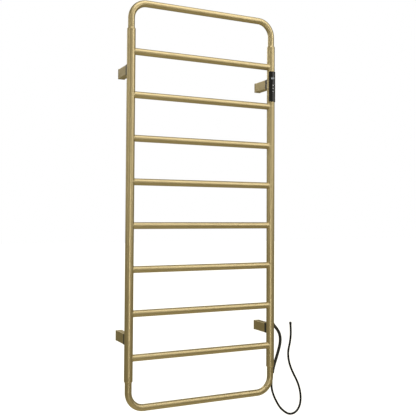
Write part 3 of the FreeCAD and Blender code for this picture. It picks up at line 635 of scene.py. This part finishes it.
def lead_curve(name, bevel):
    """A smooth spline with the route's points as control points, as thick as its bevel."""
    data = bpy.data.curves.new(name, "CURVE")
    data.dimensions = "3D"
    data.resolution_u = 12
    data.bevel_depth = bevel
    data.bevel_resolution = 8
    data.use_fill_caps = True
    points = lead_points()
    spline = data.splines.new("NURBS")
    spline.points.add(len(points) - 1)
    for target, point in zip(spline.points, points):
        target.co = (*point, 1.0)
    spline.order_u = 3
    spline.use_endpoint_u = True
    piece = bpy.data.objects.new(name, data)
    bpy.context.scene.collection.objects.link(piece)
    return piece


def read_route():
    """Points along the lead's spline, from the gland's mouth to the free end."""
    line = lead_curve("route_line", 0.0)
    mesh = bpy.data.meshes.new_from_object(line)
    points = [vertex.co.copy() for vertex in mesh.vertices]
    bpy.data.meshes.remove(mesh)
    bpy.data.objects.remove(line)
    return points


def frames_along(points, spacing):
    """Evenly spaced places on a line of points, each with two steady vectors across the line."""
    places = []
    carry = 0.0
    for start, end in zip(points, points[1:]):
        run = (end - start).length
        while carry < run:
            places.append(start.lerp(end, carry / run))
            carry += spacing
        carry -= run
    frames = []
    across = None
    for index, place in enumerate(places):
        before = places[max(index - 1, 0)]
        after = places[min(index + 1, len(places) - 1)]
        way = (after - before).normalized()
        if across is None:
            across = way.orthogonal()
        across = (across - way * across.dot(way)).normalized()
        frames.append((place, across, way.cross(across)))
    return frames


SLEEVE_RADIUS = 5.0 * MM
SLEEVE_STEP = 0.5 * MM
SLEEVE_POINTS = 60
BRAID_STRANDS = 12
BRAID_DEPTH = 0.45 * MM
BAND_LENGTH = 9.0 * MM
BAND_RISE = 0.25 * MM
BAND_STEPS = int(BAND_LENGTH / SLEEVE_STEP)
# The band rises over its first steps and narrows to the lead over its last ones.
BAND_START_STEPS = 2
BAND_END_STEPS = 4


def braid_height(turn, along):
    """How proud the braid stands, from 0 to 1: two families of strands that pass over and under."""
    pitch = 2 * math.pi * SLEEVE_RADIUS / BRAID_STRANDS
    first = BRAID_STRANDS * turn + along / pitch
    second = BRAID_STRANDS * turn - along / pitch
    over = (math.floor(first) + math.floor(second)) % 2 == 0
    across, lengthwise = (first, second) if over else (second, first)
    crown = math.sin(math.pi * (across % 1.0)) ** 0.5
    return crown * (0.55 + 0.45 * math.sin(math.pi * (lengthwise % 1.0)))


def make_braided_sleeve(route):
    """A woven sleeve over the lead's first part, and the shrunk band that holds its end."""
    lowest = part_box("cord_sleeve")[0].z
    covered = [point for index, point in enumerate(route)
               if all(before.z > lowest for before in route[:index + 1])]
    frames = frames_along(covered, SLEEVE_STEP)
    mesh = bmesh.new()
    rings = []
    for index, (place, across, other) in enumerate(frames):
        ring = []
        for step in range(SLEEVE_POINTS):
            turn = step / SLEEVE_POINTS
            height = braid_height(turn, index * SLEEVE_STEP)
            radius = SLEEVE_RADIUS - BRAID_DEPTH * (1.0 - height)
            angle = 2 * math.pi * turn
            ring.append(place + (across * math.cos(angle) + other * math.sin(angle)) * radius)
        rings.append(ring)
    join_rings(mesh, rings)
    sleeve = finish_piece("braided_sleeve", mesh, "braid", replaces=("cord_sleeve",))

    band = bmesh.new()
    rings = []
    for index, (place, across, other) in enumerate(frames[-BAND_STEPS:]):
        rise = min(index, BAND_START_STEPS) / BAND_START_STEPS
        fall = max(0.0, (index - BAND_STEPS + BAND_END_STEPS + 1) / BAND_END_STEPS)
        radius = SLEEVE_RADIUS + BAND_RISE * rise - (SLEEVE_RADIUS - LEAD_RADIUS) * fall ** 2
        ring = []
        for step in range(TURNED_POINTS):
            angle = 2 * math.pi * step / TURNED_POINTS
            ring.append(place + (across * math.cos(angle) + other * math.sin(angle)) * radius)
        rings.append(ring)
    join_rings(band, rings)
    held = finish_piece("sleeve_end_band", band, "black_plastic")
    return [sleeve, held]


def make_end_cap():
    """A moulded cap on the lead's free end, with grip rings and a domed top."""
    points = lead_points()
    along = (points[-1] - points[-2]).normalized()
    cover, beyond, radius = 7.0 * MM, 2.0 * MM, 4.3 * MM
    groove = radius - 0.35 * MM
    profile = [(0.0, radius - 0.6 * MM, None), (0.3 * MM, radius - 0.2 * MM, None)]
    for rib in range(3):
        start = (0.9 + 1.7 * rib) * MM
        profile += [(start, groove, None), (start + 0.4 * MM, radius, None),
                    (start + 1.1 * MM, radius, None), (start + 1.4 * MM, groove, None)]
    for angle in range(0, 81, 16):
        turn = math.radians(angle)
        profile.append((cover + (beyond - 0.05 * MM) * math.sin(turn),
                        (radius - 0.2 * MM) * math.cos(turn), None))
    mesh = bmesh.new()
    lathe(mesh, points[-1] - along * cover, along, profile)
    return finish_piece("lead_end_cap", mesh, "black_plastic",
                        replaces=("cord_end_cap",), bevel=0.1 * MM)


def make_strain_relief():
    """The cable gland: a flange and hexagon on the post and a ribbed nose that tapers to the lead."""
    seat = POST_RADIUS - 1.3 * MM
    flange_end, hex_end = POST_RADIUS + 1.4 * MM, POST_RADIUS + 5.0 * MM
    wide, mouth, flats = 6.2 * MM, 5.4 * MM, 11.2 * MM
    profile = [(seat, wide, None), (flange_end - 0.3 * MM, wide, None),
               (flange_end, wide - 0.3 * MM, None), (flange_end, wide - 0.3 * MM, flats),
               (hex_end - 0.4 * MM, wide, flats), (hex_end, wide - 0.5 * MM, flats)]
    ribs = 6
    pitch = (GLAND_TIP - hex_end) / ribs
    for rib in range(ribs):
        start = hex_end + rib * pitch
        share = (start - hex_end) / (GLAND_TIP - hex_end)
        crest = wide + (mouth - wide) * share - 0.1 * MM
        root = crest - 0.75 * MM
        profile += [(start + 0.10 * pitch, root, None), (start + 0.35 * pitch, root, None),
                    (start + 0.45 * pitch, crest, None), (start + 0.90 * pitch, crest, None),
                    (start + 0.99 * pitch, crest - 0.3 * MM, None)]
    mesh = bmesh.new()
    lathe(mesh, GLAND_FOOT, GLAND_AXIS, profile)
    finish_piece("strain_relief", mesh, "black_plastic",
                 replaces=("cable_gland",), bevel=0.12 * MM)


def make_lead():
    """The supply lead and the pieces on it."""
    lead = lead_curve("supply_lead", LEAD_RADIUS)
    give(lead, "cord_rubber")
    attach(lead, "rack")
    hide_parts("cord")
    pieces = make_braided_sleeve(read_route())
    pieces.append(make_end_cap())


# ------------------------------------------------------------------------------- lights, floor
FLOOR_DROP = 1.9
FLOOR_REACH = 40.0
FLOOR_COLOUR = (0.88, 0.84, 0.68, 1.0)
LAMP_COLOUR = (1.0, 0.99, 0.97)
SURROUND_COLOUR = (1.0, 0.96, 0.72, 1.0)
SURROUND_STRENGTH = 0.25
WHITE = (1.0, 1.0, 1.0, 1.0)


def camera_ray(tree):
    """1 for what the camera sees directly, 0 for reflections and bounced light."""
    return tree.nodes.new("ShaderNodeLightPath").outputs["Is Camera Ray"]


def make_floor():
    """A pale floor, bright enough to run into the white background."""
    data = bpy.data.meshes.new("floor")
    corners = [(x * FLOOR_REACH, y * FLOOR_REACH, -FLOOR_DROP)
               for x, y in ((-1, -1), (1, -1), (1, 1), (-1, 1))]
    data.from_pydata(corners, [], [(0, 1, 2, 3)])
    floor = bpy.data.objects.new("floor", data)
    bpy.context.scene.collection.objects.link(floor)
    shader = Shader("pale_floor", Base_Color=FLOOR_COLOUR, Roughness=0.9, Emission_Color=WHITE)
    shader.link(camera_ray(shader.tree), shader.surface.inputs["Emission Strength"])
    data.materials.append(shader.material)


def softbox(name, bearing, height, distance, aim, width, tall, power):
    """A soft light that faces the height aim on the rack's middle line.

    Its bearing is in degrees from the camera's side, seen from the rack, positive towards the
    camera's right. Its height, its distance and its size are in metres, and its power in watts.
    """
    angle = math.radians(bearing)
    back = Vector((-math.sin(CAMERA_YAW), -math.cos(CAMERA_YAW), 0.0))
    right = Vector((math.cos(CAMERA_YAW), -math.sin(CAMERA_YAW), 0.0))
    place = (back * math.cos(angle) + right * math.sin(angle)) * distance
    place += Vector((0.0, AXIS_Y, height))
    data = bpy.data.lights.new(name, "AREA")
    data.shape = "RECTANGLE"
    data.size = width
    data.size_y = tall
    data.energy = power
    data.color = LAMP_COLOUR
    light = bpy.data.objects.new(name, data)
    light.location = place
    light.visible_camera = False
    towards = Vector((0.0, AXIS_Y, aim)) - place
    light.rotation_euler = towards.to_track_quat("-Z", "Y").to_euler()
    bpy.context.scene.collection.objects.link(light)


def make_studio():
    """A dim warm surround that the camera sees as white, and the softboxes."""
    world = bpy.data.worlds.new("studio")
    world.use_nodes = True
    tree = world.node_tree
    dim = tree.nodes["Background"]
    dim.inputs["Color"].default_value = SURROUND_COLOUR
    dim.inputs["Strength"].default_value = SURROUND_STRENGTH
    white = tree.nodes.new("ShaderNodeBackground")
    white.inputs["Color"].default_value = WHITE
    mix = tree.nodes.new("ShaderNodeMixShader")
    tree.links.new(camera_ray(tree), mix.inputs["Fac"])
    tree.links.new(dim.outputs["Background"], mix.inputs[1])
    tree.links.new(white.outputs["Background"], mix.inputs[2])
    tree.links.new(mix.outputs["Shader"], tree.nodes["World Output"].inputs["Surface"])
    bpy.context.scene.world = world
    bpy.context.scene.view_settings.view_transform = "Standard"
    bpy.context.scene.view_settings.look = "None"
    # name, bearing, height, distance, aim, width, tall, power
    softbox("overhead", 40.0, 2.1, 0.9, 0.3, 3.0, 2.2, 19.0)
    softbox("top_near", 30.0, 1.5, 0.7, 0.5, 1.4, 0.9, 4.0)
    softbox("key", 68.0, 1.0, 2.2, 0.4, 1.3, 1.8, 13.0)
    softbox("front_strip", 14.0, -0.3, 2.2, -0.1, 0.35, 1.4, 7.5)
    softbox("left_fill", -46.0, 0.6, 2.0, 0.2, 0.5, 1.6, 4.0)
    softbox("left_side", -95.0, 0.7, 2.0, 0.3, 0.8, 1.4, 3.0)
    softbox("back_left", -152.0, 1.3, 2.0, 0.4, 1.2, 1.0, 9.0)


# --------------------------------------------------------------------------------- whole scene
# The material of each CAD node that stays, by the words its name holds.
NODE_MATERIALS = {
    "post": "upright", "collar": "upright", "rung": "level", "bend": "bent",
    "wall_anchor": "cast", "bracket_sleeve": "deep", "bracket_spacer": "black_plastic",
    "bolts": "steel", "inserts": "brass", "sleeve_grub": "steel", "board_screws": "steel",
    "earth_screw": "brass", "gland_nut": "steel", "thermal_fuse": "steel",
    "control_seal": "foam", "control_housing": "black_plastic", "control_fascia": "gloss_black",
    "display_window": "display_glass", "display_module": "display_dark",
    "circuit_board": "board_green", "key_switches": "black_plastic", "terminal": "white_plastic",
    "temperature_sensor": "white_plastic", "heating_cable": "silicone", "supply_wire": "silicone",
}
# Edges that the real pieces have rounded, by the same words.
EDGE_ROUNDS = {
    "bracket_sleeve": 0.7 * MM, "bracket_spacer": 0.6 * MM, "wall_anchor": 0.8 * MM,
    "control_fascia": 0.5 * MM, "control_housing": 0.3 * MM, "terminal": 0.4 * MM,
    "bolts": 0.2 * MM, "earth_screw": 0.2 * MM, "post": 0.4 * MM, "collar": 0.3 * MM,
}


def dress_frame():
    """Give every CAD node its material and its rounded edges."""
    for name, node in NODES.items():
        for word, material in NODE_MATERIALS.items():
            if word in name:
                give(node, material)
        for word, width in EDGE_ROUNDS.items():
            if word in name:
                round_edges(node, width)


make_camera()
make_lead()
make_strain_relief()
for rung_number in range(1, 9):
    make_braze_fillets(rung_number)
for key_number in (1, 2, 3):
    make_key(key_number)
make_readout()
dress_frame()
make_floor()
make_studio()
